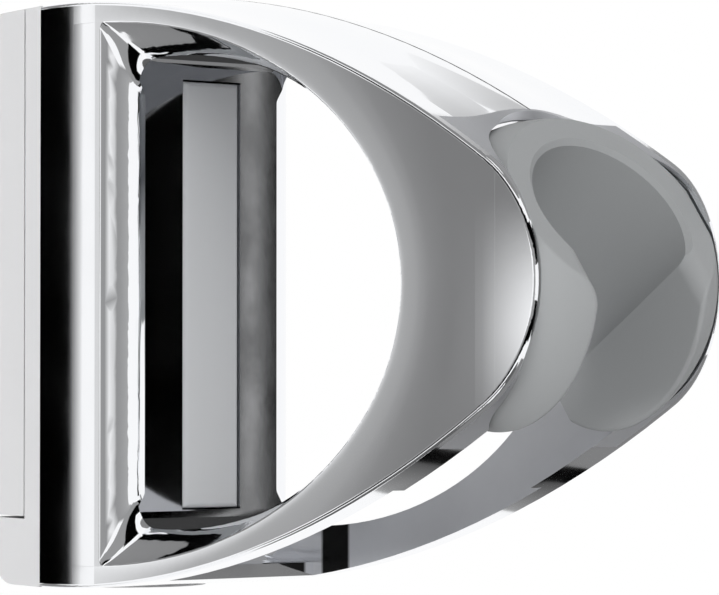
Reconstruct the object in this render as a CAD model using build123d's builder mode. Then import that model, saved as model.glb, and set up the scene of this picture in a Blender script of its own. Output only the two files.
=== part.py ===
from build123d import *
from math import asin, atan2, cos, radians, sin, sqrt
import os

os.makedirs("parts", exist_ok=True)

# Hand shower holder that slides on a wall bar. All sizes in millimetres.
# The bar axis is Z with the origin at mid height, +X points from the wall to the user,
# and the left half of the body is on the -Y side.

# Wall bar and the sleeve that runs on it
bar_diameter = 20.0
bar_clearance = 0.15
sleeve_wall = 1.85
guide_clearance = 0.08
guide_ring_wall = 1.0
guide_ring_height = 3.0
seat_clearance = 0.05

# Body envelope
body_half_width = 17.5
body_half_height = 45.0
back_x = -18.0
back_corner_radius = 5.6
back_edge_radius = 8.5
column_front_x = 22.0
flank_radius = 200.0
flank_x = 16.0
crown_rise = 1.5
column_front_wall = 4.2
end_wall = 2.4
side_wall = 2.8

# Loop: two side plates and the roof between them
plate_thickness = 4.0
roof_thickness = 2.4
roof_corner_radius = 6.0
nose_x = 98.3
nose_radius = 19.1
nose_flare_x = 106.0
nose_flare_radius = 80.0
web_radius = 8.0
web_lip = 2.0
notch_end_x = 97.2
rib_start_x = 83.5
rib_width = 2.0
rib_depth = 3.0

# D shaped grip opening
opening_centre_x = 30.0
opening_reach = 58.0
opening_rim = 6.3
opening_corner_radius = 5.0
mouth_inner_y = 12.4
mouth_centre_x = 10.0
mouth_reach = 80.2
mouth_margin = 3.7
mouth_rear_x = 17.4
mouth_corner_radius = 1.0
mouth_edge_radius = 0.4
rim_edge_radius = 0.6

# Release bar, flush with the column front
release_half_width = 5.2
release_margin = 2.5
release_thickness = 2.6
release_travel = 2.0
release_clearance = 0.25
release_edge_radius = 0.8
release_post_width = 8.0
release_post_height = 7.0

# Release frames and brake shoe
frame_height = 3.0
frame_z = 16.0
frame_side_gap = 0.5
frame_sleeve_gap = 0.35
frame_rear_half_width = 7.4
frame_rear_thickness = 1.2
frame_front_thickness = 1.8
frame_shoulder_x = -5.0
frame_corner_radius = 1.0
running_gap = 0.3
brake_pad_thickness = 1.2
brake_pad_half_width = 5.5
brake_pad_half_height = 19.0
brake_shoe_thickness = 1.65
brake_shoe_half_width = 6.0
brake_shoe_half_height = 20.0

# Release springs
spring_z = 26.0
spring_radius = 2.1
spring_wire = 0.6
spring_turns = 4.5
spring_seat_radius = 3.2
spring_seat_height = 1.0
spring_pocket_depth = 0.8
spring_pocket_radius = 2.8

# Rear cover and the sides of the housing in front of it
cover_front_x = -5.4
foot_height = 10.8
cover_gap = 0.4
cover_wall = 1.6
post_radius = 2.8
upper_post_z = 31.0
lower_post_z = -29.0
rib_bottom_z = 27.0
rib_bite = 1.0
tongue_length = 4.0
tongue_thickness = 1.4
foot_wall = 2.0

# Cup on its two trunnions
pivot_x = 101.5
ball_radius = 22.5
ball_clearance = 0.5
pocket_wall = 1.4
trunnion_boss_radius = 8.8
trunnion_boss_height = 0.8
flat_clearance = 0.3
seat_lean = 38.0
back_cut_x = 82.0
back_cut_y = 10.2
back_cut_angle = 39.0
rim_height = 15.5
base_height = 17.0
seat_top_radius = 12.1
seat_base_radius = 10.3
slot_half_width = 9.2
slot_corner_radius = 2.5
slot_lip_radius = 0.5
rim_chamfer = 0.7
trunnion_radius = 4.0
trunnion_length = 2.5
running_clearance = 0.05
bush_wall = 1.4
bush_length = 2.2
ring_radius = 7.1
ring_section = 0.65
ring_groove_depth = 1.2

# Screws and dowels
screw_x = 14.8
screw_inset = 4.8
screw_radius = 1.0
screw_head_radius = 1.75
screw_head_height = 1.6
screw_half_length = 9.0
boss_radius = 2.6
small_screw_radius = 0.9
small_head_radius = 1.7
small_head_height = 0.9
small_screw_length = 5.6
thread_clearance = 0.05
head_clearance = 0.1
socket_radius = 0.85
socket_depth = 1.0
dowel_radius = 0.8
dowel_half_length = 4.0
rear_dowel_x = 46.0
front_dowel_x = 74.0

# Worked out from the sizes above
bar_radius = bar_diameter / 2
bore_radius = bar_radius + bar_clearance
sleeve_radius = bore_radius + sleeve_wall
arc_radius = (nose_x**2 + body_half_height**2 - nose_radius**2) / (2 * (body_half_height - nose_radius))
arc_centre_z = body_half_height - arc_radius
nose_angle = atan2(nose_x, -arc_centre_z)
nose_tip_x = nose_x + nose_radius
plate_inner = body_half_width - plate_thickness
cavity_half_width = body_half_width - side_wall
cover_bottom_z = foot_height - body_half_height
rib_inner_y = sleeve_radius - rib_bite
screw_z = body_half_height - screw_inset
post_heights = (upper_post_z, lower_post_z)
dowel_places = (rear_dowel_x, front_dowel_x)
column_inner_x = column_front_x - column_front_wall
mouth_half_height = body_half_height - mouth_margin
opening_half_height = mouth_half_height - opening_rim
release_half_height = opening_half_height - release_margin
web_x = column_front_x + web_radius
pocket_face = body_half_width - pocket_wall
trunnion_boss_face = pocket_face - trunnion_boss_height
ball_flat = pocket_face - flat_clearance
bush_face = trunnion_boss_face - flat_clearance
window_half_width = release_half_width + release_clearance
window_half_height = release_half_height + release_clearance
release_back_x = column_front_x - release_thickness
frame_front_x = column_inner_x - running_gap
frame_outer_half_width = cavity_half_width - frame_side_gap
frame_inner_half_width = sleeve_radius + frame_sleeve_gap
spring_seat_x = sleeve_radius + spring_seat_height
spring_pocket_x = release_back_x + spring_pocket_depth
pad_face_radius = bar_radius + seat_clearance
shoe_face_radius = pad_face_radius + brake_pad_thickness
brake_shoe_back_x = -(shoe_face_radius + brake_shoe_thickness)
frame_rear_x = brake_shoe_back_x - frame_rear_thickness
guide_inner_radius = bar_radius + guide_clearance
guide_outer_radius = guide_inner_radius + guide_ring_wall
bush_inner_radius = trunnion_radius + running_clearance
bush_outer_radius = bush_inner_radius + bush_wall
bush_recess = bush_length + 2 * seat_clearance
screw_hole_radius = screw_radius + thread_clearance
small_hole_radius = small_screw_radius + thread_clearance
crown_height = body_half_height + crown_rise
seat_axis = Vector(cos(radians(seat_lean)), 0, sin(radians(seat_lean)))
seat_plane = Plane(origin=(pivot_x, 0, 0), x_dir=(0, 1, 0), z_dir=seat_axis)
far = 200.0
tolerance = 0.01


def arc_height(x, inset=0.0):
    """Height at x of the long arc of the side outline, moved in by inset."""
    return arc_centre_z + sqrt((arc_radius - inset) ** 2 - x**2)


def arc_point(angle, radius, side=1):
    """Point at an angle from the vertical, on the arc above (side 1) or below (side -1)."""
    return (radius * sin(angle), side * (arc_centre_z + radius * cos(angle)))


def flank(x):
    """Half width of the body at x, on the curve behind the flat plates."""
    return body_half_width - max(0.0, flank_x - x) ** 2 / (2 * flank_radius)


def flare(x):
    """Half width of the body at x, on the curve that runs in to the nose."""
    return body_half_width - nose_flare_radius + sqrt(nose_flare_radius**2 - (x - nose_flare_x) ** 2)


def crown_line(base):
    """Section of the crowned top: level over the plates and highest on the centre line."""
    bend_radius = (plate_inner**2 + crown_rise**2) / (4 * crown_rise)
    half_bend = asin(plate_inner / 2 / bend_radius) / 2
    reach = bend_radius * sin(half_bend)
    dip = bend_radius * (1 - cos(half_bend))
    for side in (-1, 1):
        edge = (side * plate_inner, base)
        middle = (side * plate_inner / 2, base + crown_rise / 2)
        Line((side * body_half_width, base), edge)
        ThreePointArc(edge, (side * (plate_inner - reach), base + dip), middle)
        ThreePointArc(middle, (side * reach, base + crown_rise - dip), (0, base + crown_rise))


def between(inner, outer, share):
    """Size that runs from the inner to the outer value along a parabola."""
    return inner + (outer - inner) * share**2


def opening_outline(share=0.0):
    """Face of the D shaped opening, from its inner edge (share 0) to its wide mouth (share 1)."""
    with BuildSketch(Plane.XY, mode=Mode.PRIVATE) as outline:
        with Locations((between(opening_centre_x, mouth_centre_x, share), 0)):
            Ellipse(
                between(opening_reach, mouth_reach, share),
                between(opening_half_height, mouth_half_height, share),
            )
        with Locations((between(column_front_x, mouth_rear_x, share), 0)):
            Rectangle(far, far, align=(Align.MIN, Align.CENTER), mode=Mode.INTERSECT)
        corner_radius = between(opening_corner_radius, mouth_corner_radius, share)
        fillet(outline.vertices().group_by(Axis.X)[0], corner_radius)
    return outline.sketch


def on_slot_wall(edge):
    """True for an edge of the cup that lies on a side wall of its slot."""
    return abs(abs(edge.center().Y) - slot_half_width) < tolerance


def on_rim(edge):
    """True for an edge of the cup that lies in the plane of its rim."""
    return abs((edge.center() - seat_plane.origin).dot(seat_axis) - rim_height) < tolerance


def on_outer_rim(edge):
    """True for an edge round the outer face of a half shell, apart from the joint with the housing."""
    near_face = edge.center().Y < -flank(0) + 2 * rim_edge_radius
    return near_face and (abs(edge.tangent_at(0.5).Z) < 0.9 or edge.center().X > nose_flare_x)


def rear_form(inset=0.0):
    """Solid of the rounded rear of the column, behind the joint with the chromed shells."""
    back = back_x + inset
    half_back = flank(back_x) - inset
    half_joint = flank(0) - inset
    half_middle = flank(back_x / 2) - inset
    with BuildPart(mode=Mode.PRIVATE) as form:
        with BuildSketch(Plane.XY.offset(-body_half_height)) as plan:
            with BuildLine():
                ThreePointArc((0, half_joint), (back_x / 2, half_middle), (back, half_back))
                Line((back, half_back), (back, -half_back))
                ThreePointArc((back, -half_back), (back_x / 2, -half_middle), (0, -half_joint))
                Line((0, -half_joint), (0, half_joint))
            make_face()
            fillet(plan.vertices().group_by(Axis.X)[0], back_corner_radius - inset)
        extrude(amount=body_half_height + crown_height)
        with BuildSketch(Plane.XZ.offset(-body_half_width)) as side:
            with BuildLine():
                Polyline(
                    (back, -body_half_height + inset),
                    (0, -body_half_height + inset),
                    (0, crown_height - inset),
                    (back, crown_height - inset),
                    close=True,
                )
            make_face()
            fillet(side.vertices().group_by(Axis.X)[0], back_edge_radius - inset)
        extrude(amount=2 * body_half_width, mode=Mode.INTERSECT)
        with BuildSketch(Plane.YZ.offset(back_x)):
            with BuildLine():
                crown_line(body_half_height - inset)
                Polyline(
                    (body_half_width, body_half_height - inset),
                    (body_half_width, -body_half_height),
                    (-body_half_width, -body_half_height),
                    (-body_half_width, body_half_height - inset),
                )
            make_face()
        extrude(amount=-back_x, mode=Mode.INTERSECT)
    return form.part


# Half of the chromed body, on the -Y side, before its screw holes
with BuildPart() as half_shell:
    # Side outline, taller than the crown and closed by the round nose
    raised_radius = arc_radius + 2 * crown_rise
    with BuildSketch(Plane.XZ):
        with BuildLine():
            Line((0, -body_half_height), (0, arc_centre_z + raised_radius))
            ThreePointArc(
                (0, arc_centre_z + raised_radius),
                arc_point(nose_angle / 2, raised_radius),
                arc_point(nose_angle, raised_radius),
            )
            Line(arc_point(nose_angle, raised_radius), (nose_x, 0))
            Line((nose_x, 0), arc_point(nose_angle, arc_radius, -1))
            ThreePointArc(
                arc_point(nose_angle, arc_radius, -1),
                arc_point(nose_angle / 2, arc_radius, -1),
                (0, -body_half_height),
            )
        make_face()
        with Locations((nose_x, 0)):
            Circle(nose_radius)
    extrude(amount=body_half_width)
    # Plan outline: curved flank at the column, flat plate, and a flare in to the nose
    with BuildSketch(Plane.XY):
        with BuildLine():
            Line((0, 0), (0, -flank(0)))
            ThreePointArc((0, -flank(0)), (flank_x / 2, -flank(flank_x / 2)), (flank_x, -flank(flank_x)))
            Line((flank_x, -flank(flank_x)), (nose_flare_x, -flare(nose_flare_x)))
            ThreePointArc(
                (nose_flare_x, -flare(nose_flare_x)),
                ((nose_flare_x + nose_tip_x) / 2, -flare((nose_flare_x + nose_tip_x) / 2)),
                (nose_tip_x, -flare(nose_tip_x)),
            )
            Line((nose_tip_x, -flare(nose_tip_x)), (nose_tip_x, 0))
            Line((nose_tip_x, 0), (0, 0))
        make_face()
    extrude(amount=2 * body_half_height, both=True, mode=Mode.INTERSECT)
    # Crowned top, highest on the centre line
    with BuildSketch(Plane.YZ):
        with BuildLine():
            crown_line(body_half_height)
            Polyline(
                (body_half_width, body_half_height),
                (body_half_width, arc_centre_z / 2),
                (-body_half_width, arc_centre_z / 2),
                (-body_half_width, body_half_height),
            )
        make_face()
    revolve(axis=Axis((0, 0, arc_centre_z), (0, 1, 0)), mode=Mode.INTERSECT)
    # Rounded rim of the outer face
    fillet(half_shell.edges().filter_by(on_outer_rim), rim_edge_radius)
    # Grip opening, which widens in a curve to its mouth in the outer face
    with BuildSketch(Plane.XZ):
        add(opening_outline())
    extrude(amount=body_half_width, mode=Mode.SUBTRACT)
    for share in (0, 1 / 3, 2 / 3, 1):
        with BuildSketch(Plane.XZ.offset(mouth_inner_y + share * (body_half_width - mouth_inner_y))):
            add(opening_outline(share))
    loft(mode=Mode.SUBTRACT)
    fillet(
        half_shell.faces().sort_by(Axis.Y)[0].inner_wires()[0].edges(),
        mouth_edge_radius,
    )
    # Space between the plates: closed by the roof above and by a short web at the bottom of the column
    web_z = -arc_height(web_x, web_lip)
    with BuildSketch(Plane.XZ) as gap_outline:
        with BuildLine():
            roof_line = ThreePointArc(
                (column_front_x, arc_height(column_front_x, roof_thickness)),
                arc_point(nose_angle * 0.7, arc_radius - roof_thickness),
                arc_point(nose_angle * 1.2, arc_radius - roof_thickness),
            )
            Polyline(roof_line @ 1, (far, 0), (far, -far), (web_x, -far), (web_x, web_z))
            ThreePointArc(
                (web_x, web_z),
                (web_x - web_radius * sin(radians(45)), web_z + web_radius * (1 - cos(radians(45)))),
                (column_front_x, web_z + web_radius),
            )
            Line((column_front_x, web_z + web_radius), roof_line @ 0)
        make_face()
        fillet(gap_outline.vertices().group_by(Axis.X)[0].sort_by(Axis.Y)[-1], roof_corner_radius)
    extrude(amount=plate_inner, mode=Mode.SUBTRACT)
    # Thicker lower edge of the plate in front of the cup
    rib_end_x = arc_point(nose_angle, arc_radius)[0]
    rib_middle_x = (rib_start_x + rib_end_x) / 2
    with BuildSketch(Plane.XZ.offset(plate_inner - rib_width)):
        with BuildLine():
            rib_edge = ThreePointArc(
                (rib_start_x, -arc_height(rib_start_x)),
                (rib_middle_x, -arc_height(rib_middle_x)),
                (rib_end_x, -arc_height(rib_end_x)),
            )
            rib_top = ThreePointArc(
                (rib_end_x, -arc_height(rib_end_x, rib_depth)),
                (rib_middle_x, -arc_height(rib_middle_x, rib_depth)),
                (rib_start_x, -arc_height(rib_start_x, rib_depth)),
            )
            Line(rib_edge @ 1, rib_top @ 0)
            Line(rib_top @ 1, rib_edge @ 0)
        make_face()
    extrude(amount=rib_width + plate_thickness / 4)
    # Room for the cup to turn, a rounded notch in the roof, and the trunnion on its boss
    with BuildSketch(Plane.XY):
        with Locations((pivot_x, 0)):
            Circle(ball_radius + ball_clearance)
            Rectangle(far, 2 * pocket_face, align=(Align.MIN, Align.CENTER), mode=Mode.INTERSECT)
    revolve(axis=Axis((pivot_x, 0, 0), (0, 1, 0)), mode=Mode.SUBTRACT)
    with BuildSketch(Plane.XY):
        with Locations((notch_end_x + pocket_face, 0)):
            Circle(pocket_face)
            Rectangle(far, 2 * pocket_face, align=(Align.MIN, Align.CENTER))
    extrude(amount=far, mode=Mode.SUBTRACT)
    with BuildSketch(Plane.XZ.offset(trunnion_boss_face)):
        with Locations((pivot_x, 0)):
            Circle(trunnion_boss_radius)
    extrude(amount=trunnion_boss_height + flat_clearance)
    with BuildSketch(Plane.XZ.offset(trunnion_boss_face - trunnion_length)):
        with Locations((pivot_x, 0)):
            Circle(trunnion_radius)
    extrude(amount=trunnion_length + flat_clearance)
    # Hollow column, open at both ends for the sleeve
    with BuildSketch(Plane.XY):
        Rectangle(2 * column_inner_x, 2 * cavity_half_width)
    extrude(amount=body_half_height - end_wall, both=True, mode=Mode.SUBTRACT)
    with BuildSketch(Plane.XY):
        Circle(sleeve_radius + seat_clearance)
    extrude(amount=far, both=True, mode=Mode.SUBTRACT)
    # Window for the release bar
    with BuildSketch(Plane.YZ.offset(column_inner_x)):
        Rectangle(2 * window_half_width, 2 * window_half_height)
    extrude(amount=column_front_wall, mode=Mode.SUBTRACT)
    # Screw bosses on the seam
    with BuildSketch(Plane.XZ):
        with Locations((screw_x, screw_z), (screw_x, -screw_z)):
            Circle(boss_radius)
    extrude(amount=cavity_half_width + seat_clearance)
    # Dowel holes in the seam of the roof
    with BuildSketch(Plane.XZ):
        with Locations([(x, arc_height(x, roof_thickness / 2) + crown_rise / 2) for x in dowel_places]):
            Circle(dowel_radius + thread_clearance)
    extrude(amount=dowel_half_length + seat_clearance, mode=Mode.SUBTRACT)

with BuildPart() as left_shell:
    add(half_shell.part)
    with BuildSketch(Plane.XZ):
        with Locations((screw_x, screw_z), (screw_x, -screw_z)):
            Circle(screw_hole_radius)
    extrude(amount=screw_half_length + seat_clearance, mode=Mode.SUBTRACT)
left_shell.part.label = "left_shell"
export_step(left_shell.part, "parts/left_shell.step")

with BuildPart() as right_shell:
    mirror(half_shell.part, about=Plane.XZ)
    with BuildSketch(Plane.XZ):
        with Locations((screw_x, screw_z), (screw_x, -screw_z)):
            Circle(screw_hole_radius)
    extrude(amount=-far, mode=Mode.SUBTRACT)
    with BuildSketch(Plane.XZ.offset(-screw_half_length)):
        with Locations((screw_x, screw_z), (screw_x, -screw_z)):
            Circle(screw_head_radius + head_clearance)
    extrude(amount=-far, mode=Mode.SUBTRACT)
right_shell.part.label = "right_shell"
export_step(right_shell.part, "parts/right_shell.step")


# Pale housing: the sleeve round the bar, the side strips, and the foot below the cover
with BuildPart() as bar_housing:
    add(rear_form())
    # Opening that the rear cover closes
    with BuildSketch(Plane.XZ.offset(-body_half_width)):
        with Locations((cover_front_x + cover_gap, cover_bottom_z - cover_gap)):
            Rectangle(far, far, align=(Align.MAX, Align.MIN))
    extrude(amount=2 * body_half_width, mode=Mode.SUBTRACT)
    # Hollow behind the shells and inside the foot
    with BuildSketch(Plane.XY.offset(cover_bottom_z - cover_gap)):
        Rectangle(2 * column_front_x, 2 * cavity_half_width)
    extrude(amount=body_half_height - end_wall - cover_bottom_z + cover_gap, mode=Mode.SUBTRACT)
    with BuildSketch(Plane.XY.offset(-body_half_height + end_wall)):
        Rectangle(2 * (sleeve_radius + foot_wall), 2 * (cavity_half_width - foot_wall))
    extrude(
        amount=body_half_height - end_wall + cover_bottom_z - cover_gap - foot_wall, mode=Mode.SUBTRACT
    )
    # Ribs that carry the sleeve, with tongues that reach into the shells
    for side in (1, -1):
        rib_width_y = cavity_half_width + seat_clearance - rib_inner_y
        with BuildSketch(Plane.XY.offset(rib_bottom_z)):
            with Locations((0, side * (rib_inner_y + rib_width_y / 2))):
                Rectangle(-cover_front_x - cover_gap, rib_width_y, align=(Align.MAX, Align.CENTER))
        extrude(amount=body_half_height - rib_bottom_z)
        with BuildSketch(Plane.XY.offset(-rib_bottom_z)):
            with Locations((0, side * (rib_inner_y + rib_width_y / 2))):
                Rectangle(-cover_front_x - cover_gap, rib_width_y, align=(Align.MAX, Align.CENTER))
        extrude(amount=-(body_half_height - rib_bottom_z))
        tongue_y = cavity_half_width - seat_clearance - tongue_thickness / 2
        for end in (1, -1):
            with BuildSketch(Plane.XY.offset(end * rib_bottom_z)):
                with Locations((tongue_length / 2, side * tongue_y)):
                    Rectangle(tongue_length + 1.0, tongue_thickness)
            extrude(amount=end * (body_half_height - end_wall - rib_bottom_z - running_gap))
    # Sleeve
    with BuildSketch(Plane.XY):
        Circle(sleeve_radius)
    extrude(amount=body_half_height, both=True)
    # Seats for the release springs and posts for the rear cover
    with BuildSketch(Plane.YZ.offset(bore_radius)):
        with Locations((0, spring_z), (0, -spring_z)):
            Circle(spring_seat_radius)
    extrude(amount=spring_seat_x - bore_radius)
    with BuildSketch(Plane.YZ.offset(-bore_radius)):
        with Locations([(0, height) for height in post_heights]):
            Circle(post_radius)
    extrude(amount=back_x + cover_wall + bore_radius)
    # Bore, seats of the guide rings, and the window for the brake shoe
    with BuildSketch(Plane.XY):
        Circle(bore_radius)
    extrude(amount=far, both=True, mode=Mode.SUBTRACT)
    for end in (1, -1):
        with BuildSketch(Plane.XY.offset(end * (body_half_height - guide_ring_height))):
            Circle(guide_outer_radius + seat_clearance)
        extrude(amount=end * far, mode=Mode.SUBTRACT)
    with BuildSketch(Plane.YZ):
        Rectangle(2 * (brake_shoe_half_width + running_gap), 2 * (brake_shoe_half_height + running_gap))
    extrude(amount=-far, mode=Mode.SUBTRACT)
    # Screw holes in the posts
    with BuildSketch(Plane.YZ.offset(back_x)):
        with Locations([(0, height) for height in post_heights]):
            Circle(small_hole_radius)
    extrude(amount=small_screw_length + seat_clearance, mode=Mode.SUBTRACT)
bar_housing.part.label = "bar_housing"
export_step(bar_housing.part, "parts/bar_housing.step")


with BuildPart() as rear_cover:
    add(rear_form())
    with BuildSketch(Plane.XZ.offset(-body_half_width)):
        with Locations((cover_front_x, cover_bottom_z)):
            Rectangle(far, far, align=(Align.MAX, Align.MIN))
    extrude(amount=2 * body_half_width, mode=Mode.INTERSECT)
    add(rear_form(cover_wall), mode=Mode.SUBTRACT)
    with BuildSketch(Plane.XY):
        Circle(sleeve_radius + running_gap)
    extrude(amount=far, mode=Mode.SUBTRACT)
    # Countersunk screw holes
    with BuildSketch(Plane.YZ.offset(back_x)):
        with Locations([(0, height) for height in post_heights]):
            Circle(small_hole_radius)
    extrude(amount=2 * cover_wall, mode=Mode.SUBTRACT)
    for height in post_heights:
        with BuildSketch(Plane.YZ.offset(back_x)):
            with Locations((0, height)):
                Circle(small_head_radius + thread_clearance)
        with BuildSketch(Plane.YZ.offset(back_x + small_head_height)):
            with Locations((0, height)):
                Circle(small_hole_radius)
        loft(mode=Mode.SUBTRACT)
rear_cover.part.label = "rear_cover"
export_step(rear_cover.part, "parts/rear_cover.step")


# Guide rings at the two ends of the sleeve
for name, end in (("upper_guide_ring", 1), ("lower_guide_ring", -1)):
    with BuildPart() as guide_ring:
        with BuildSketch(Plane.XY.offset(end * body_half_height)):
            Circle(guide_outer_radius)
            Circle(guide_inner_radius, mode=Mode.SUBTRACT)
        extrude(amount=-end * (guide_ring_height - seat_clearance))
    guide_ring.part.label = name
    export_step(guide_ring.part, f"parts/{name}.step")


# Release bar: the matte grip strip with its posts, screw holes and spring pockets
with BuildPart() as release_bar:
    with BuildSketch(Plane.YZ.offset(release_back_x)):
        Rectangle(2 * release_half_width, 2 * release_half_height)
    extrude(amount=release_thickness)
    fillet(release_bar.edges().group_by(Axis.X)[-1], release_edge_radius)
    with BuildSketch(Plane.YZ.offset(frame_front_x)):
        with Locations((0, frame_z), (0, -frame_z)):
            Rectangle(release_post_width, release_post_height)
    extrude(amount=release_back_x - frame_front_x)
    with BuildSketch(Plane.YZ.offset(frame_front_x)):
        with Locations((0, frame_z), (0, -frame_z)):
            Circle(small_hole_radius)
    extrude(amount=small_screw_length - frame_front_thickness + seat_clearance, mode=Mode.SUBTRACT)
    with BuildSketch(Plane.YZ.offset(release_back_x)):
        with Locations((0, spring_z), (0, -spring_z)):
            Circle(spring_pocket_radius)
    extrude(amount=spring_pocket_depth, mode=Mode.SUBTRACT)
release_bar.part.label = "release_bar"
export_step(release_bar.part, "parts/release_bar.step")


# Release frames: flat rings round the sleeve that join the release bar to the brake shoe
frame_inner_x = frame_front_x - frame_front_thickness
frame_slope = (frame_outer_half_width - frame_rear_half_width) / (frame_shoulder_x - frame_rear_x)
frame_inner_rear = frame_rear_half_width - frame_rear_thickness * frame_slope
for name, height in (("upper_frame", frame_z), ("lower_frame", -frame_z)):
    with BuildPart() as frame:
        with BuildSketch(Plane.XY.offset(height - frame_height / 2)) as frame_outline:
            with BuildLine():
                Polyline(
                    (frame_front_x, -frame_outer_half_width),
                    (frame_front_x, frame_outer_half_width),
                    (frame_shoulder_x, frame_outer_half_width),
                    (frame_rear_x, frame_rear_half_width),
                    (frame_rear_x, -frame_rear_half_width),
                    (frame_shoulder_x, -frame_outer_half_width),
                    close=True,
                )
            make_face()
            fillet(frame_outline.vertices(), frame_corner_radius)
        extrude(amount=frame_height)
        with BuildSketch(Plane.XY.offset(height - frame_height / 2)):
            with BuildLine():
                Polyline(
                    (frame_inner_x, -frame_inner_half_width),
                    (frame_inner_x, frame_inner_half_width),
                    (frame_shoulder_x, frame_inner_half_width),
                    (brake_shoe_back_x, frame_inner_rear),
                    (brake_shoe_back_x, -frame_inner_rear),
                    (frame_shoulder_x, -frame_inner_half_width),
                    close=True,
                )
            make_face()
        extrude(amount=frame_height, mode=Mode.SUBTRACT)
        # Countersunk hole for the screw into the release bar
        with BuildSketch(Plane.YZ.offset(frame_inner_x)):
            with Locations((0, height)):
                Circle(small_hole_radius)
        extrude(amount=frame_front_thickness, mode=Mode.SUBTRACT)
        with BuildSketch(Plane.YZ.offset(frame_inner_x)):
            with Locations((0, height)):
                Circle(small_head_radius - small_head_height / 2 + thread_clearance)
        with BuildSketch(Plane.YZ.offset(frame_inner_x + small_head_height)):
            with Locations((0, height)):
                Circle(small_hole_radius)
        loft(mode=Mode.SUBTRACT)
    frame.part.label = name
    export_step(frame.part, f"parts/{name}.step")


# Brake shoe behind the bar and the rubber pad on it
with BuildPart() as brake_shoe:
    with BuildSketch(Plane.XY):
        with Locations((brake_shoe_back_x, 0)):
            Rectangle(
                -brake_shoe_back_x, 2 * brake_shoe_half_width, align=(Align.MIN, Align.CENTER)
            )
        Circle(shoe_face_radius, mode=Mode.SUBTRACT)
    extrude(amount=brake_shoe_half_height, both=True)
brake_shoe.part.label = "brake_shoe"
export_step(brake_shoe.part, "parts/brake_shoe.step")

with BuildPart() as brake_pad:
    with BuildSketch(Plane.XY):
        Circle(shoe_face_radius)
        Circle(pad_face_radius, mode=Mode.SUBTRACT)
        Rectangle(far, 2 * brake_pad_half_width, align=(Align.MAX, Align.CENTER), mode=Mode.INTERSECT)
    extrude(amount=brake_pad_half_height, both=True)
brake_pad.part.label = "brake_pad"
export_step(brake_pad.part, "parts/brake_pad.step")


# Coil springs between the sleeve and the release bar
spring_length = spring_pocket_x - spring_seat_x - spring_wire - 2 * seat_clearance
for name, height in (("upper_spring", spring_z), ("lower_spring", -spring_z)):
    spring_start = (spring_seat_x + spring_wire / 2 + seat_clearance, 0, height)
    with BuildPart() as spring:
        with BuildLine() as coil:
            Helix(spring_length / spring_turns, spring_length, spring_radius, spring_start, (1, 0, 0))
        with BuildSketch(Plane(origin=coil.line @ 0, z_dir=coil.line % 0)):
            Circle(spring_wire / 2)
        sweep(path=coil.line, is_frenet=True)
    spring.part.label = name
    export_step(spring.part, f"parts/{name}.step")


# Cup: a ball with flat sides, a tapered seat for the hand shower and a slot for the hose
with BuildPart() as cup:
    with Locations(seat_plane):
        Sphere(ball_radius)
    with BuildSketch(seat_plane.offset(rim_height)):
        Circle(far)
    extrude(amount=ball_radius, mode=Mode.SUBTRACT)
    with BuildSketch(seat_plane.offset(-base_height)):
        Circle(far)
    extrude(amount=-ball_radius, mode=Mode.SUBTRACT)
    for side in (1, -1):
        with BuildSketch(Plane.XZ.offset(side * ball_flat)):
            with Locations((pivot_x, 0)):
                Circle(far)
        extrude(amount=side * ball_radius, mode=Mode.SUBTRACT)
    # Bevels of the back, which keep it clear of the grip opening
    for side in (1, -1):
        with BuildSketch(Plane.XY):
            with Locations(Location((back_cut_x, side * back_cut_y, 0), side * back_cut_angle)):
                Rectangle(far, far, align=(Align.CENTER, Align.MIN if side > 0 else Align.MAX))
        extrude(amount=ball_radius, both=True, mode=Mode.SUBTRACT)
    with BuildSketch(seat_plane.offset(-base_height)):
        Circle(seat_base_radius)
    with BuildSketch(seat_plane.offset(rim_height)):
        Circle(seat_top_radius)
    loft(mode=Mode.SUBTRACT)
    with BuildSketch(seat_plane.offset(rim_height - rim_chamfer)):
        Circle(seat_top_radius)
    with BuildSketch(seat_plane.offset(rim_height)):
        Circle(seat_top_radius + rim_chamfer)
    loft(mode=Mode.SUBTRACT)
    with BuildSketch(seat_plane.offset(-base_height)):
        Rectangle(2 * slot_half_width, far, align=(Align.CENTER, Align.MAX))
    extrude(amount=base_height + rim_height, mode=Mode.SUBTRACT)
    fillet(cup.edges().filter_by(GeomType.LINE).filter_by(on_slot_wall).filter_by(on_rim), slot_corner_radius)
    fillet(cup.edges().filter_by(GeomType.CIRCLE).filter_by(on_slot_wall), slot_lip_radius)
    # Recesses for the trunnion bosses and bushes, and grooves for the friction rings
    for side in (1, -1):
        with BuildSketch(Plane.XZ.offset(side * bush_face)):
            with Locations((pivot_x, 0)):
                Circle(trunnion_boss_radius + flat_clearance)
        extrude(amount=side * trunnion_boss_height, mode=Mode.SUBTRACT)
        with BuildSketch(Plane.XZ.offset(side * bush_face)):
            with Locations((pivot_x, 0)):
                Circle(bush_outer_radius + seat_clearance)
        extrude(amount=-side * bush_recess, mode=Mode.SUBTRACT)
        with BuildSketch(Plane.XZ.offset(side * bush_face)):
            with Locations((pivot_x, 0)):
                Circle(ring_radius + ring_section + seat_clearance)
                Circle(ring_radius - ring_section - seat_clearance, mode=Mode.SUBTRACT)
        extrude(amount=-side * ring_groove_depth, mode=Mode.SUBTRACT)
cup.part.label = "cup"
export_step(cup.part, "parts/cup.step")

for name, side in (("left_bush", 1), ("right_bush", -1)):
    with BuildPart() as bush:
        with BuildSketch(Plane.XZ.offset(side * (bush_face - seat_clearance))):
            with Locations((pivot_x, 0)):
                Circle(bush_outer_radius)
                Circle(bush_inner_radius, mode=Mode.SUBTRACT)
        extrude(amount=-side * bush_length)
    bush.part.label = name
    export_step(bush.part, f"parts/{name}.step")

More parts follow.
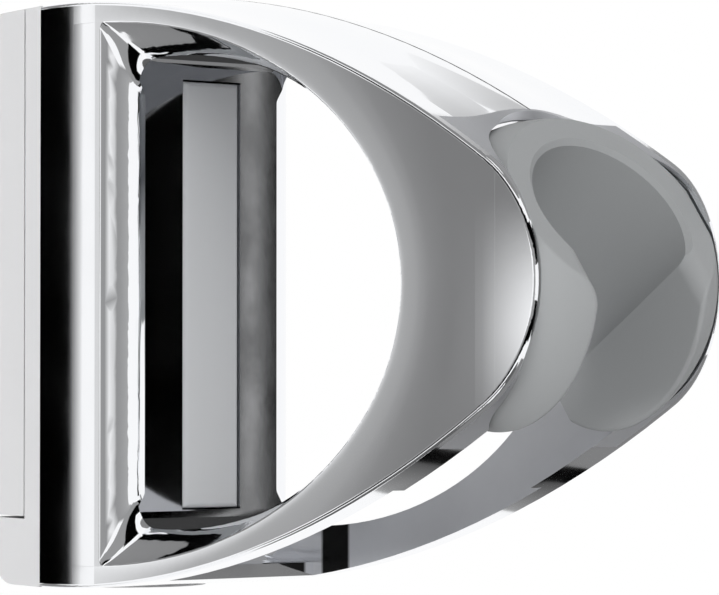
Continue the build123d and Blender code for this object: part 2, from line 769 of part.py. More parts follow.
for name, side in (("left_friction_ring", -1), ("right_friction_ring", 1)):
    ring_y = side * (bush_face - ring_groove_depth + ring_section + seat_clearance)
    with BuildPart() as friction_ring:
        with BuildSketch(Plane.XY):
            with Locations((pivot_x + ring_radius, ring_y)):
                Circle(ring_section)
        revolve(axis=Axis((pivot_x, 0, 0), (0, 1, 0)))
    friction_ring.part.label = name
    export_step(friction_ring.part, f"parts/{name}.step")


# Two socket screws that close the shells, put in from the right
with BuildPart() as shell_screws:
    for height in (screw_z, -screw_z):
        with BuildSketch(Plane.XZ.offset(screw_half_length)):
            with Locations((screw_x, height)):
                Circle(screw_radius)
        extrude(amount=-2 * screw_half_length)
        with BuildSketch(Plane.XZ.offset(-screw_half_length)):
            with Locations((screw_x, height)):
                Circle(screw_head_radius)
        extrude(amount=-screw_head_height)
        with BuildSketch(Plane.XZ.offset(-screw_half_length - screw_head_height)):
            with Locations((screw_x, height)):
                RegularPolygon(socket_radius, 6)
        extrude(amount=socket_depth, mode=Mode.SUBTRACT)
shell_screws.part.label = "shell_screws"
export_step(shell_screws.part, "parts/shell_screws.step")

# Countersunk screws of the release frames and of the rear cover
with BuildPart() as frame_screws:
    for height in (frame_z, -frame_z):
        with BuildSketch(Plane.YZ.offset(frame_inner_x)):
            with Locations((0, height)):
                Circle(small_screw_radius)
        extrude(amount=small_screw_length)
        with BuildSketch(Plane.YZ.offset(frame_inner_x)):
            with Locations((0, height)):
                Circle(small_head_radius - small_head_height / 2)
        with BuildSketch(Plane.YZ.offset(frame_inner_x + small_head_height)):
            with Locations((0, height)):
                Circle(small_screw_radius)
        loft()
frame_screws.part.label = "frame_screws"
export_step(frame_screws.part, "parts/frame_screws.step")

with BuildPart() as cover_screws:
    for height in post_heights:
        with BuildSketch(Plane.YZ.offset(back_x)):
            with Locations((0, height)):
                Circle(small_screw_radius)
        extrude(amount=small_screw_length)
        with BuildSketch(Plane.YZ.offset(back_x)):
            with Locations((0, height)):
                Circle(small_head_radius)
        with BuildSketch(Plane.YZ.offset(back_x + small_head_height)):
            with Locations((0, height)):
                Circle(small_screw_radius)
        loft()
cover_screws.part.label = "cover_screws"
export_step(cover_screws.part, "parts/cover_screws.step")

# Dowels across the seam of the roof
with BuildPart() as roof_dowels:
    with BuildSketch(Plane.XZ):
        with Locations([(x, arc_height(x, roof_thickness / 2) + crown_rise / 2) for x in dowel_places]):
            Circle(dowel_radius)
    extrude(amount=dowel_half_length, both=True)
roof_dowels.part.label = "roof_dowels"
export_step(roof_dowels.part, "parts/roof_dowels.step")
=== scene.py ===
"""Looks of the hand shower holder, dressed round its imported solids. Lengths are in metres."""
import logging
import math
from dataclasses import dataclass, field
from enum import Enum

import bmesh
import bpy
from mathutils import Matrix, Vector


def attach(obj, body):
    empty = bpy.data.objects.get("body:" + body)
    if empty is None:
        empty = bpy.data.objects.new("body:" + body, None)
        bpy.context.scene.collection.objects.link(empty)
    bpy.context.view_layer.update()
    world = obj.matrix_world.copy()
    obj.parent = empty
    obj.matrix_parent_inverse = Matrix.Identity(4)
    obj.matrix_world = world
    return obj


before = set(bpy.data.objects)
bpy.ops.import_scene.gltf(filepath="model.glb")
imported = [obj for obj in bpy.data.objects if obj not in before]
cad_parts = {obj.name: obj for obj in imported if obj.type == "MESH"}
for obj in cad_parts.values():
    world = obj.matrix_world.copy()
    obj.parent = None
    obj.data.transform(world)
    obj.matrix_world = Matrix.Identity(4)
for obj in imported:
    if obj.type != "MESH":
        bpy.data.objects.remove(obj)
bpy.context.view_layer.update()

LOG = logging.getLogger("shower_holder")


class Body(Enum):
    """The rigid bodies of the frame that a new piece can ride on."""

    FIXED = "body"


class Slot(Enum):
    """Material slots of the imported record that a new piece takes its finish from."""

    CHROME = "chrome_plate"


def tone(value: int) -> float:
    """Linear level of a display value from 0 to 255."""
    share = value / 255
    return share / 12.92 if share <= 0.04045 else ((share + 0.055) / 1.055) ** 2.4


class NodeSheet:
    """A small helper that lays out the shader nodes of one material or world."""

    def __init__(self, tree: bpy.types.NodeTree) -> None:
        """Empties the tree.

        Args:
            tree: the node tree to fill.
        """
        self.tree = tree
        self.tree.nodes.clear()

    def add(self, kind: str, **values: object) -> bpy.types.Node:
        """Adds a node and sets its inputs or properties.

        Args:
            kind: the node's type name.
            values: input names, with underscores for spaces, or property names.

        Returns:
            The new node.
        """
        node = self.tree.nodes.new(kind)
        for key, value in values.items():
            name = key.replace("_", " ")
            if name in node.inputs:
                node.inputs[name].default_value = value
            else:
                setattr(node, key, value)
        return node

    def link(self, source: bpy.types.NodeSocket, target: bpy.types.NodeSocket) -> None:
        """Joins two sockets."""
        self.tree.links.new(source, target)

    def split(self, vector: bpy.types.NodeSocket) -> bpy.types.Node:
        """Splits a vector into its three numbers.

        Args:
            vector: the vector's socket.

        Returns:
            A node whose outputs are X, Y and Z.
        """
        node = self.add("ShaderNodeSeparateXYZ")
        self.link(vector, node.inputs[0])
        return node

    def math(self, operation: str, *values: object) -> bpy.types.NodeSocket:
        """Adds a math node.

        Args:
            operation: the node's operation.
            values: its inputs in order, each a socket or a number.

        Returns:
            The result's socket.
        """
        node = self.add("ShaderNodeMath", operation=operation)
        for value, target in zip(values, node.inputs):
            if isinstance(value, bpy.types.NodeSocket):
                self.link(value, target)
            else:
                target.default_value = value
        return node.outputs[0]

    def ramp(self, source: bpy.types.NodeSocket, stops: list[tuple[float, float]]) -> bpy.types.NodeSocket:
        """Maps a value through grey stops.

        Args:
            source: the value that is mapped.
            stops: pairs of place and grey level, in order.

        Returns:
            The colour output of the ramp.
        """
        node = self.add("ShaderNodeValToRGB")
        marks = node.color_ramp.elements
        while len(marks) > 1:
            marks.remove(marks[-1])
        for index, (place, level) in enumerate(stops):
            mark = marks[0] if index == 0 else marks.new(place)
            mark.position = place
            mark.color = (level, level, level, 1)
        self.link(source, node.inputs["Fac"])
        return node.outputs["Color"]

    def between(self, share: bpy.types.NodeSocket, low: object, high: object) -> bpy.types.NodeSocket:
        """Mixes two colours.

        Args:
            share: 0 gives the low one and 1 the high one.
            low: a colour of four numbers, or a socket.
            high: a colour of four numbers, or a socket.

        Returns:
            The mixed colour's socket.
        """
        node = self.add("ShaderNodeMix", data_type="RGBA")
        self.link(share, node.inputs[0])
        for value, target in ((low, node.inputs[6]), (high, node.inputs[7])):
            if isinstance(value, bpy.types.NodeSocket):
                self.link(value, target)
            else:
                target.default_value = value
        return node.outputs[2]


@dataclass(frozen=True)
class Finish:
    """A surface finish: base colour, gloss, grain and how much it varies."""

    name: str
    color: tuple[float, float, float]
    roughness: float
    metallic: float = 0.0
    specular: float = 0.5
    grain_scale: float = 6000.0
    grain_height: float = 0.00001
    rough_spread: float = 0.05
    stain: float = 0.03
    cloud_low: float = 0.3
    cloud_high: float = 0.7

    def material(self) -> bpy.types.Material:
        """Builds the material, or finds the one built before.

        Returns:
            A material with grain, roughness variation and faint tonal variation.
        """
        made = bpy.data.materials.get(self.name)
        if made:
            return made
        made = bpy.data.materials.new(self.name)
        made.use_nodes = True
        sheet = NodeSheet(made.node_tree)
        out = sheet.add("ShaderNodeOutputMaterial")
        shader = sheet.add(
            "ShaderNodeBsdfPrincipled",
            Metallic=self.metallic,
            Specular_IOR_Level=self.specular,
        )
        place = sheet.add("ShaderNodeTexCoord").outputs["Object"]
        cloud = sheet.add("ShaderNodeTexNoise", Scale=90.0, Detail=5.0, Roughness=0.6)
        sheet.link(place, cloud.inputs["Vector"])
        sheet.link(self.color_of(sheet, place, cloud.outputs["Fac"]), shader.inputs["Base Color"])
        sheet.link(self.roughness_of(sheet, place, cloud.outputs["Fac"]), shader.inputs["Roughness"])
        sheet.link(self.relief_of(sheet, place), shader.inputs["Normal"])
        sheet.link(shader.outputs["BSDF"], out.inputs["Surface"])
        return made

    def color_of(
        self, sheet: NodeSheet, place: bpy.types.NodeSocket, cloud: bpy.types.NodeSocket
    ) -> bpy.types.NodeSocket:
        """Varies the base colour a little with the cloud.

        Args:
            sheet: the node sheet.
            place: the texture coordinates, not used here.
            cloud: the slow noise.

        Returns:
            The base colour's socket.
        """
        low = [c * (1 - self.stain) for c in self.color]
        high = [min(1.0, c * (1 + self.stain)) for c in self.color]
        return sheet.between(cloud, (*low, 1), (*high, 1))

    def roughness_of(
        self, sheet: NodeSheet, place: bpy.types.NodeSocket, cloud: bpy.types.NodeSocket
    ) -> bpy.types.NodeSocket:
        """Varies the roughness with the cloud, as handling leaves it.

        Args:
            sheet: the node sheet.
            place: the texture coordinates, not used here.
            cloud: the slow noise.

        Returns:
            The roughness socket.
        """
        spread = sheet.add(
            "ShaderNodeMapRange",
            From_Min=self.cloud_low,
            From_Max=self.cloud_high,
            To_Min=max(0.0, self.roughness - self.rough_spread),
            To_Max=self.roughness + self.rough_spread,
        )
        sheet.link(cloud, spread.inputs["Value"])
        return spread.outputs["Result"]

    def relief_of(self, sheet: NodeSheet, place: bpy.types.NodeSocket) -> bpy.types.NodeSocket:
        """Raises a fine grain on the surface.

        Args:
            sheet: the node sheet.
            place: the texture coordinates.

        Returns:
            The normal's socket.
        """
        grain = sheet.add("ShaderNodeTexNoise", Scale=self.grain_scale, Detail=3.0, Roughness=0.55)
        bump = sheet.add("ShaderNodeBump", Strength=1.0, Distance=self.grain_height)
        sheet.link(place, grain.inputs["Vector"])
        sheet.link(grain.outputs["Fac"], bump.inputs["Height"])
        return bump.outputs["Normal"]


@dataclass(frozen=True)
class PlatedFinish(Finish):
    """Polished plate, satin in the loop and the cup's recess, that rolls off round the grip opening, with
    a painted dark reflection band across the satin lower arm.
    """

    satin: tuple[float, float, float] = (0.68, 0.69, 0.72)
    satin_roughness: float = 0.45
    satin_spread: float = 0.07
    side_limit: float = 0.7
    # Painted reflection: the near-black tone and the x span of a dark band painted on the satin lower arm.
    shade: tuple[float, float, float] = (0.004, 0.004, 0.004)
    painted_reflection_start: float = 0.0318
    painted_reflection_end: float = 0.0392
    painted_reflection_fade: float = 0.0007
    inner_face: float = 0.0136
    recess_face: float = 0.01605
    recess_start: float = 0.0966
    column_front: float = 0.0222
    outer_face: float = 0.0174
    mouth_centre: float = 0.010
    mouth_reach: float = 0.0802
    mouth_half_height: float = 0.0413
    roll_depth: float = 0.00028
    roll_share: float = 0.07

    def satin_share(self, sheet: NodeSheet, place: bpy.types.NodeSocket) -> bpy.types.NodeSocket:
        """Finds the faces that look at each other across the loop, and the recess of the cup.

        Args:
            sheet: the node sheet.
            place: the texture coordinates.

        Returns:
            A socket that is 1 on those faces and 0 elsewhere.
        """
        at = sheet.split(place)
        facing = sheet.split(sheet.add("ShaderNodeNewGeometry").outputs["Normal"])
        aside = sheet.math("ABSOLUTE", at.outputs["Y"])
        between = sheet.math("LESS_THAN", aside, self.inner_face)
        ahead = sheet.math("GREATER_THAN", at.outputs["X"], self.column_front)
        turned = sheet.math("ABSOLUTE", facing.outputs["Y"])
        sideways = sheet.math("GREATER_THAN", turned, self.side_limit)
        plates = sheet.math("MULTIPLY", sheet.math("MULTIPLY", between, ahead), sideways)
        recess = sheet.math("LESS_THAN", aside, self.recess_face)
        nose = sheet.math("GREATER_THAN", at.outputs["X"], self.recess_start)
        return sheet.math("MAXIMUM", plates, sheet.math("MULTIPLY", recess, nose))

    def color_of(
        self, sheet: NodeSheet, place: bpy.types.NodeSocket, cloud: bpy.types.NodeSocket
    ) -> bpy.types.NodeSocket:
        """Base colour of the polished and the satin faces, with a painted dark reflection band on the
        satin.

        Args:
            sheet: the node sheet.
            place: the texture coordinates.
            cloud: the slow noise.

        Returns:
            The base colour's socket.
        """
        polished = super().color_of(sheet, place, cloud)
        low = [c * (1 - self.satin_spread) for c in self.satin]
        high = [c * (1 + self.satin_spread) for c in self.satin]
        matte = sheet.between(cloud, (*low, 1), (*high, 1))
        # Painted reflection: a dark band is laid into the satin colour here.
        with_painted_reflection = sheet.between(self.painted_reflection_share(sheet, place), matte, (*self.shade, 1))
        return sheet.between(self.satin_share(sheet, place), polished, with_painted_reflection)

    def painted_reflection_share(self, sheet: NodeSheet, place: bpy.types.NodeSocket) -> bpy.types.NodeSocket:
        """Finds the painted dark reflection band that crosses the lower arm of the loop beside the column.

        Args:
            sheet: the node sheet.
            place: the texture coordinates.

        Returns:
            A socket that is 1 in the band and falls to 0 at its two sides.
        """
        at = sheet.split(place)
        middle = (self.painted_reflection_start + self.painted_reflection_end) / 2
        half = (self.painted_reflection_end - self.painted_reflection_start) / 2
        off = sheet.math("ABSOLUTE", sheet.math("SUBTRACT", at.outputs["X"], middle))
        inside = sheet.math("DIVIDE", sheet.math("SUBTRACT", half, off), self.painted_reflection_fade)
        share = sheet.math("MINIMUM", sheet.math("MAXIMUM", inside, 0.0), 1.0)
        return sheet.math("MULTIPLY", share, sheet.math("LESS_THAN", at.outputs["Z"], 0.0))

    def roughness_of(
        self, sheet: NodeSheet, place: bpy.types.NodeSocket, cloud: bpy.types.NodeSocket
    ) -> bpy.types.NodeSocket:
        """Roughness of the polished and the satin faces.

        Args:
            sheet: the node sheet.
            place: the texture coordinates.
            cloud: the slow noise.

        Returns:
            The roughness socket.
        """
        polished = super().roughness_of(sheet, place, cloud)
        matte = sheet.math("MULTIPLY", self.satin_share(sheet, place), self.satin_roughness)
        return sheet.math("MAXIMUM", polished, matte)

    def relief_of(self, sheet: NodeSheet, place: bpy.types.NodeSocket) -> bpy.types.NodeSocket:
        """Lets the polished plate fall a little towards the grip opening.

        Args:
            sheet: the node sheet.
            place: the texture coordinates.

        Returns:
            The normal's socket.
        """
        at = sheet.split(place)
        ahead = sheet.math("SUBTRACT", at.outputs["X"], self.mouth_centre)
        along = sheet.math("ABSOLUTE", sheet.math("DIVIDE", ahead, self.mouth_reach))
        across = sheet.math("DIVIDE", at.outputs["Z"], self.mouth_half_height)
        along_square = sheet.math("POWER", along, 2.0)
        across_square = sheet.math("MULTIPLY", across, across)
        squares = sheet.math("ADD", along_square, across_square)
        past = sheet.math("SUBTRACT", sheet.math("SQRT", squares), 1.0)
        share = sheet.math("DIVIDE", sheet.math("MAXIMUM", past, 0.0), -self.roll_share)
        fall = sheet.math("EXPONENT", share)
        outside = sheet.math("GREATER_THAN", sheet.math("ABSOLUTE", at.outputs["Y"]), self.outer_face)
        height = sheet.math("MULTIPLY", sheet.math("MULTIPLY", fall, -1.0), outside)
        roll = sheet.add("ShaderNodeBump", Strength=1.0, Distance=self.roll_depth)
        sheet.link(height, roll.inputs["Height"])
        grain = super().relief_of(sheet, place)
        sheet.link(roll.outputs["Normal"], grain.node.inputs["Normal"])
        return grain


@dataclass(frozen=True)
class CupFinish(Finish):
    """Moulded plastic with painted shade down in the seat and painted highlights along its rim chamfer and
    lips.
    """

    pivot: tuple[float, float, float] = (0.1015, 0.0, 0.0)
    lean_deg: float = 38.0
    seat_radius: float = 0.01212
    chamfer_radius: float = 0.0129
    lip_low: float = 0.00925
    lip_high: float = 0.00995
    # Painted shade: the seat is darkened to this share of the colour. Painted highlight: the rim chamfer
    # and lips are lightened by this factor.
    painted_seat_shade: float = 0.42
    painted_lip_highlight: float = 1.6

    def color_of(
        self, sheet: NodeSheet, place: bpy.types.NodeSocket, cloud: bpy.types.NodeSocket
    ) -> bpy.types.NodeSocket:
        """Base colour with painted shade in the seat and painted highlights on the rim chamfer and the
        lips.

        Args:
            sheet: the node sheet.
            place: the texture coordinates.
            cloud: the slow noise.

        Returns:
            The base colour's socket.
        """
        lean = math.radians(self.lean_deg)
        arm = sheet.add("ShaderNodeVectorMath", operation="SUBTRACT")
        arm.inputs[1].default_value = self.pivot
        sheet.link(place, arm.inputs[0])
        cross = sheet.add("ShaderNodeVectorMath", operation="CROSS_PRODUCT")
        cross.inputs[1].default_value = (math.cos(lean), 0.0, math.sin(lean))
        sheet.link(arm.outputs[0], cross.inputs[0])
        length = sheet.add("ShaderNodeVectorMath", operation="LENGTH")
        sheet.link(cross.outputs[0], length.inputs[0])
        radius = length.outputs["Value"]
        aside = sheet.math("ABSOLUTE", sheet.split(place).outputs["Y"])
        inside = sheet.math("LESS_THAN", radius, self.seat_radius)
        outside = sheet.math("SUBTRACT", 1.0, inside)
        chamfer = sheet.math("LESS_THAN", radius, self.chamfer_radius)
        past_wall = sheet.math("GREATER_THAN", aside, self.lip_low)
        lip = sheet.math("MULTIPLY", past_wall, sheet.math("LESS_THAN", aside, self.lip_high))
        rim = sheet.math("SUBTRACT", chamfer, inside)
        # Mask of the painted highlight: the rim chamfer, and the lips outside the seat.
        pale = sheet.math("MAXIMUM", rim, sheet.math("MULTIPLY", lip, outside))
        plain = super().color_of(sheet, place, cloud)
        # Painted shade darkens the seat, then a painted highlight lightens the rim chamfer and lips.
        with_painted_shade = sheet.between(inside, plain, (*[c * self.painted_seat_shade for c in self.color], 1))
        return sheet.between(pale, with_painted_shade, (*[c * self.painted_lip_highlight for c in self.color], 1))


CHROME = PlatedFinish(
    "polished_chrome",
    (0.93, 0.94, 0.96),
    0.05,
    metallic=1.0,
    grain_scale=300.0,
    grain_height=0.000001,
    rough_spread=0.015,
    stain=0.01,
)
PALE = Finish("pale_housing_plastic", (0.67, 0.67, 0.68), 0.38, grain_scale=5000.0, stain=0.02)
GRIP = Finish("grip_plastic", (0.72, 0.725, 0.75), 0.45, grain_scale=4200.0, grain_height=0.00002)
CUP = CupFinish(
    "cup_plastic", (0.245, 0.25, 0.26), 0.50, grain_scale=2600.0, grain_height=0.00003, stain=0.08
)
ACETAL = Finish("bearing_plastic", (0.72, 0.72, 0.69), 0.35)
DARK = Finish("brake_shoe_plastic", (0.03, 0.03, 0.033), 0.5)
RUBBER = Finish("seal_rubber", (0.02, 0.02, 0.02), 0.7, specular=0.3)
STEEL = Finish("stainless_steel", (0.55, 0.55, 0.56), 0.28, 1.0, grain_scale=1500.0, grain_height=0.000004)
SPRING = Finish("spring_wire", (0.42, 0.42, 0.44), 0.25, 1.0, grain_scale=2500.0, grain_height=0.000004)
# Painted shade: the dark colour of the ribbon laid in the roof's seam.
SEAM_SHADE = Finish("seam_shade", (0.12, 0.12, 0.125), 0.45, grain_scale=3000.0, stain=0.15)


def dress(piece: bpy.types.Object, finish: Finish) -> bpy.types.Object:
    """Gives one piece one finish.

    Args:
        piece: the object.
        finish: its finish.

    Returns:
        The same object.
    """
    piece.data.materials.clear()
    piece.data.materials.append(finish.material())
    LOG.info("%s dressed in %s", piece.name, finish.name)
    return piece


def cad(node: str) -> bpy.types.Object:
    """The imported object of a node."""
    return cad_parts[node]


@dataclass
class ChromeBody:
    """The two chromed half shells with the fine seam on the crown of the roof, darkened by a ribbon of
    painted shade.
    """

    nose_x: float = 0.0983
    half_height: float = 0.045
    nose_radius: float = 0.0191
    crown_rise: float = 0.0015
    seam_start: float = 0.0135
    seam_end: float = 0.0968
    seam_width: float = 0.00034
    seam_lift: float = 0.000015
    seam_steps: int = 60

    def build(self) -> None:
        """Dresses the shells and their fasteners and lays the painted shade in the seam."""
        for node in ("left_shell", "right_shell"):
            dress(cad(node), CHROME)
        for node in ("shell_screws", "roof_dowels"):
            dress(cad(node), STEEL)
        self.seam()

    def seam(self) -> bpy.types.Object:
        """Lays a ribbon of painted shade in the seam along the highest line of the roof.

        Returns:
            The seam's painted shade, a narrow dark ribbon that is arched across.
        """
        drop = self.half_height - self.nose_radius
        arc_radius = (self.nose_x**2 + self.half_height**2 - self.nose_radius**2) / (2 * drop)
        centre = self.half_height - arc_radius
        radius = arc_radius + self.crown_rise
        mesh = bpy.data.meshes.new("roof_seam_shade")
        shape = bmesh.new()
        rows = []
        for step in range(self.seam_steps + 1):
            x = self.seam_start + (self.seam_end - self.seam_start) * step / self.seam_steps
            angle = math.asin(x / radius)
            rows.append(
                [
                    shape.verts.new(
                        (
                            (radius + lift) * math.sin(angle),
                            side * self.seam_width / 2,
                            centre + (radius + lift) * math.cos(angle),
                        )
                    )
                    for side, lift in ((-1, 0.0), (-0.5, self.seam_lift), (0.5, self.seam_lift), (1, 0.0))
                ]
            )
        for ahead, behind in zip(rows[1:], rows):
            for index in range(3):
                shape.faces.new((behind[index], ahead[index], ahead[index + 1], behind[index + 1]))
        bmesh.ops.recalc_face_normals(shape, faces=shape.faces)
        shape.to_mesh(mesh)
        shape.free()
        # Painted shade: this ribbon stands in for the shade down in the seam's groove.
        ribbon = bpy.data.objects.new("roof_seam_shade", mesh)
        bpy.context.scene.collection.objects.link(ribbon)
        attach(ribbon, Body.FIXED.value)
        return dress(ribbon, SEAM_SHADE)


@dataclass
class BarHousing:
    """The pale housing that runs on the wall bar, its cover and its bearing rings."""

    finishes: dict[str, Finish] = field(
        default_factory=lambda: {
            "bar_housing": PALE,
            "rear_cover": PALE,
            "upper_guide_ring": ACETAL,
            "lower_guide_ring": ACETAL,
            "cover_screws": STEEL,
        }
    )

    def build(self) -> None:
        """Dresses the housing's pieces."""
        for node, finish in self.finishes.items():
            dress(cad(node), finish)


@dataclass
class ReleaseBrake:
    """The grip strip on the column with the frames, springs and brake that it works."""

    finishes: dict[str, Finish] = field(
        default_factory=lambda: {
            "release_bar": GRIP,
            "upper_frame": STEEL,
            "lower_frame": STEEL,
            "frame_screws": STEEL,
            "brake_shoe": DARK,
            "brake_pad": RUBBER,
            "upper_spring": SPRING,
            "lower_spring": SPRING,
        }
    )

    def build(self) -> None:
        """Dresses the strip and what it moves."""
        for node, finish in self.finishes.items():
            dress(cad(node), finish)


@dataclass
class BallCup:
    """The tilting cup with its bushes and friction rings."""

    finishes: dict[str, Finish] = field(
        default_factory=lambda: {
            "cup": CUP,
            "left_bush": ACETAL,
            "right_bush": ACETAL,
            "left_friction_ring": RUBBER,
            "right_friction_ring": RUBBER,
        }
    )

    def build(self) -> None:
        """Dresses the cup's pieces."""
        for node, finish in self.finishes.items():
            dress(cad(node), finish)


@dataclass
class ReflectionCard:
    """An upright strip of a wide cylinder that only polished surfaces see."""

    name: str
    from_deg: float
    to_deg: float
    left_tone: int
    right_tone: int
    low_deg: float = -9.0
    high_deg: float = 9.0
    distance: float = 2.0
    fade: int | None = None
    steps: int = 24
    fade_rate: float = 2.4
    fade_softness: float = 0.4

    def build(self) -> bpy.types.Object:
        """Builds the strip with a tone that runs evenly from one end to the other.

        Returns:
            The card, hidden from the camera, from diffuse light and from shadows.
        """
        mesh = bpy.data.meshes.new(self.name)
        shape = bmesh.new()
        low = self.distance * math.tan(math.radians(self.low_deg))
        high = self.distance * math.tan(math.radians(self.high_deg))
        rows = []
        for step in range(self.steps + 1):
            angle = math.radians(self.from_deg + (self.to_deg - self.from_deg) * step / self.steps)
            x, y = self.distance * math.cos(angle), self.distance * math.sin(angle)
            rows.append((shape.verts.new((x, y, low)), shape.verts.new((x, y, high))))
        layer = shape.loops.layers.uv.new("along")
        for step in range(self.steps):
            corners = (rows[step][0], rows[step + 1][0], rows[step + 1][1], rows[step][1])
            face = shape.faces.new(corners)
            for loop, share, rise in zip(face.loops, (step, step + 1, step + 1, step), (0, 0, 1, 1)):
                loop[layer].uv = (share / self.steps, rise)
        shape.to_mesh(mesh)
        shape.free()
        card = bpy.data.objects.new(self.name, mesh)
        bpy.context.scene.collection.objects.link(card)
        mesh.materials.append(self.material())
        card.visible_camera = False
        card.visible_diffuse = False
        card.visible_shadow = False
        LOG.info("%s placed", self.name)
        return card

    def material(self) -> bpy.types.Material:
        """Makes the card's glow, which may fade to another tone above and below.

        Returns:
            A glowing grey that runs from the left tone to the right tone.
        """
        made = bpy.data.materials.new(self.name)
        made.use_nodes = True
        sheet = NodeSheet(made.node_tree)
        out = sheet.add("ShaderNodeOutputMaterial")
        glow = sheet.add("ShaderNodeEmission", Strength=1.0)
        along = sheet.split(sheet.add("ShaderNodeTexCoord").outputs["UV"])
        stops = [(0.0, tone(self.left_tone)), (1.0, tone(self.right_tone))]
        shade = sheet.ramp(along.outputs["X"], stops)
        if self.fade is not None:
            edge = sheet.math("PINGPONG", along.outputs["Y"], 0.5)
            rise = sheet.math("MULTIPLY", edge, self.fade_rate)
            share = sheet.math("SMOOTH_MIN", rise, 1.0, self.fade_softness)
            level = tone(self.fade)
            shade = sheet.between(share, (level, level, level, 1), shade)
        sheet.link(shade, glow.inputs["Color"])
        sheet.link(glow.outputs["Emission"], out.inputs["Surface"])
        return made


BELT_CARDS = (
    ReflectionCard("rear_black_card", -160.0, -150.0, 0, 0),
    ReflectionCard("rear_edge_card", -150.0, -147.8, 0, 235),
    ReflectionCard("side_soft_card", -146.0, -144.5, 250, 178),
    ReflectionCard("side_grey_card", -144.5, -142.0, 172, 162),
    ReflectionCard("side_middle_card", -142.0, -141.0, 156, 146),
    ReflectionCard("side_dark_card", -141.0, -139.0, 140, 125),
    ReflectionCard("side_nose_card", -139.0, -118.0, 126, 126),
    ReflectionCard("side_light_card", -139.0, -128.0, 128, 215, -1.6, 3.2, 1.95, fade=126),
    ReflectionCard("side_bright_card", -128.0, -120.0, 215, 255, -1.6, 3.2, 1.95, fade=126),
    ReflectionCard("front_soft_card", -84.0, -76.0, 250, 150),
    ReflectionCard("front_grey_card", -76.0, -42.0, 150, 172),
    ReflectionCard("far_black_card", 27.0, 35.9, 0, 0, -3.6),
    ReflectionCard("far_grey_card", 35.9, 36.36, 140, 175, -3.6),
    ReflectionCard("far_end_card", 36.36, 52.0, 4, 4, -3.6),
    ReflectionCard("far_low_card", 27.0, 48.0, 122, 135, -9.0, -3.6),
)


def twin_cards(
    name: str, ends: tuple[float, float], tones: tuple[int, int], rise: tuple[float, float]
) -> tuple[ReflectionCard, ReflectionCard]:
    """Two cards alike, one above and one below the belt.

    Args:
        name: their name, which gets upper_ or lower_ before it.
        ends: where they start and end, in degrees.
        tones: the tones at the two ends.
        rise: the lower and the higher edge of the upper one, in degrees.

    Returns:
        The upper and the lower card.
    """
    return (
        ReflectionCard("upper_" + name, *ends, *tones, rise[0], rise[1]),
        ReflectionCard("lower_" + name, *ends, *tones, -rise[1], -rise[0]),
    )


OUTER_CARDS = (
    *twin_cards("corner_card", (-136.0, -20.0), (152, 152), (9.0, 21.0)),
    *twin_cards("shade_card", (-140.0, -20.0), (3, 3), (21.0, 40.0)),
    *twin_cards("column_shade_card", (-20.0, 27.0), (3, 3), (12.0, 40.0)),
    *twin_cards("column_top_card", (27.0, 48.0), (60, 60), (9.0, 36.0)),
    *twin_cards("crease_card", (-180.0, -155.0), (130, 140), (14.0, 36.0)),
    ReflectionCard("upper_rim_card", 50.0, 121.0, 150, 150, 36.0, 58.0),
    ReflectionCard("upper_notch_card", 121.0, 136.0, 150, 250, 36.0, 50.0),
    ReflectionCard("lower_rim_card", 60.0, 125.4, 130, 130, -60.0, -33.0),
    ReflectionCard("lower_black_card", 125.4, 127.4, 6, 6, -52.0, -30.0),
    ReflectionCard("lower_grey_card", 127.4, 131.4, 80, 150, -50.0, -28.0),
    ReflectionCard("upper_ring_card", -180.0, 180.0, 135, 135, 55.0, 80.0, 0.9),
    ReflectionCard("lower_ring_card", -180.0, 180.0, 95, 95, -80.0, -55.0, 0.9),
)


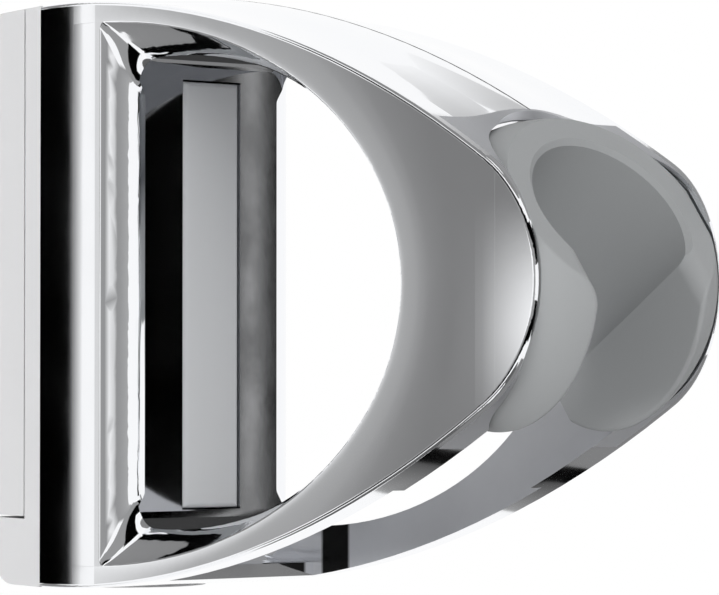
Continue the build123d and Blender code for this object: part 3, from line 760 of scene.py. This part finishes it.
@dataclass
class Studio:
    """Camera, pale surroundings, lamps and the cards that the chrome mirrors."""

    camera_place: tuple[float, float, float] = (0.4919, -0.3386, -0.0144)
    camera_heading_deg: float = 141.985
    camera_lift_deg: float = 1.386
    lens: float = 189.4
    sensor: float = 36.0
    floor_level: float = -3.6
    floor_reach: float = 12.0
    soft_light: float = 0.42
    lamp_aim: tuple[float, float, float] = (0.05, 0.0, 0.0)
    cards: tuple[ReflectionCard, ...] = BELT_CARDS + OUTER_CARDS

    def build(self) -> None:
        """Builds everything round the object."""
        bpy.context.scene.view_settings.view_transform = "Standard"
        self.camera()
        self.world()
        self.floor()
        self.lamps()
        for card in self.cards:
            card.build()

    def camera(self) -> None:
        """Puts the camera where the picture was taken from."""
        data = bpy.data.cameras.new("camera")
        data.lens = self.lens
        data.sensor_width = self.sensor
        data.clip_start, data.clip_end = 0.01, 100.0
        eye = bpy.data.objects.new("camera", data)
        bpy.context.scene.collection.objects.link(eye)
        heading, lift = math.radians(self.camera_heading_deg), math.radians(self.camera_lift_deg)
        level = math.cos(lift)
        gaze = Vector((math.cos(heading) * level, math.sin(heading) * level, math.sin(lift)))
        eye.location = self.camera_place
        eye.rotation_euler = gaze.to_track_quat("-Z", "Y").to_euler()
        bpy.context.scene.camera = eye

    def world(self) -> None:
        """Makes the surroundings white to the eye and to polished metal, and soft as a light."""
        world = bpy.data.worlds.new("pale_studio")
        bpy.context.scene.world = world
        world.use_nodes = True
        sheet = NodeSheet(world.node_tree)
        out = sheet.add("ShaderNodeOutputWorld")
        seen = sheet.add("ShaderNodeBackground", Color=(1, 1, 1, 1), Strength=1.0)
        light = sheet.add("ShaderNodeBackground", Color=(1, 1, 1, 1), Strength=self.soft_light)
        mix = sheet.add("ShaderNodeMixShader")
        path = sheet.add("ShaderNodeLightPath")
        first = sheet.math("MAXIMUM", path.outputs["Is Camera Ray"], path.outputs["Is Glossy Ray"])
        both = sheet.math("MAXIMUM", first, path.outputs["Is Transmission Ray"])
        sheet.link(both, mix.inputs["Fac"])
        sheet.link(light.outputs[0], mix.inputs[1])
        sheet.link(seen.outputs[0], mix.inputs[2])
        sheet.link(mix.outputs[0], out.inputs["Surface"])

    def floor(self) -> None:
        """Lays a wide pale floor well below the holder."""
        mesh = bpy.data.meshes.new("studio_floor")
        reach = self.floor_reach
        corners = [(-reach, -reach), (reach, -reach), (reach, reach), (-reach, reach)]
        mesh.from_pydata([(x, y, self.floor_level) for x, y in corners], [], [(0, 1, 2, 3)])
        ground = bpy.data.objects.new("studio_floor", mesh)
        bpy.context.scene.collection.objects.link(ground)
        made = bpy.data.materials.new("studio_floor")
        made.use_nodes = True
        sheet = NodeSheet(made.node_tree)
        out = sheet.add("ShaderNodeOutputMaterial")
        pale = sheet.add("ShaderNodeBsdfDiffuse", Color=(0.85, 0.85, 0.85, 1))
        seen = sheet.add("ShaderNodeEmission", Color=(1, 1, 1, 1), Strength=1.0)
        mix = sheet.add("ShaderNodeMixShader")
        path = sheet.add("ShaderNodeLightPath")
        either = sheet.math("MAXIMUM", path.outputs["Is Camera Ray"], path.outputs["Is Glossy Ray"])
        sheet.link(either, mix.inputs["Fac"])
        sheet.link(pale.outputs[0], mix.inputs[1])
        sheet.link(seen.outputs[0], mix.inputs[2])
        sheet.link(mix.outputs[0], out.inputs["Surface"])
        mesh.materials.append(made)

    def lamps(self) -> None:
        """Hangs two large soft lamps, one above in front and one at the left."""
        for name, place, size, watts in (
            ("front_lamp", (1.3, -0.6, 0.35), 0.7, 8.5),
            ("left_lamp", (-0.5, -1.4, -0.05), 0.7, 13.0),
        ):
            data = bpy.data.lights.new(name, "AREA")
            data.shape, data.size, data.energy = "SQUARE", size, watts
            lamp = bpy.data.objects.new(name, data)
            bpy.context.scene.collection.objects.link(lamp)
            lamp.location = place
            aim = Vector(self.lamp_aim) - Vector(place)
            lamp.rotation_euler = aim.to_track_quat("-Z", "Y").to_euler()
            lamp.visible_glossy = False


def main() -> None:
    """Builds the holder's pieces in order, then the studio."""
    logging.basicConfig(level=logging.INFO)
    ChromeBody().build()
    BarHousing().build()
    ReleaseBrake().build()
    BallCup().build()
    Studio().build()


if __name__ == "__main__":
    main()
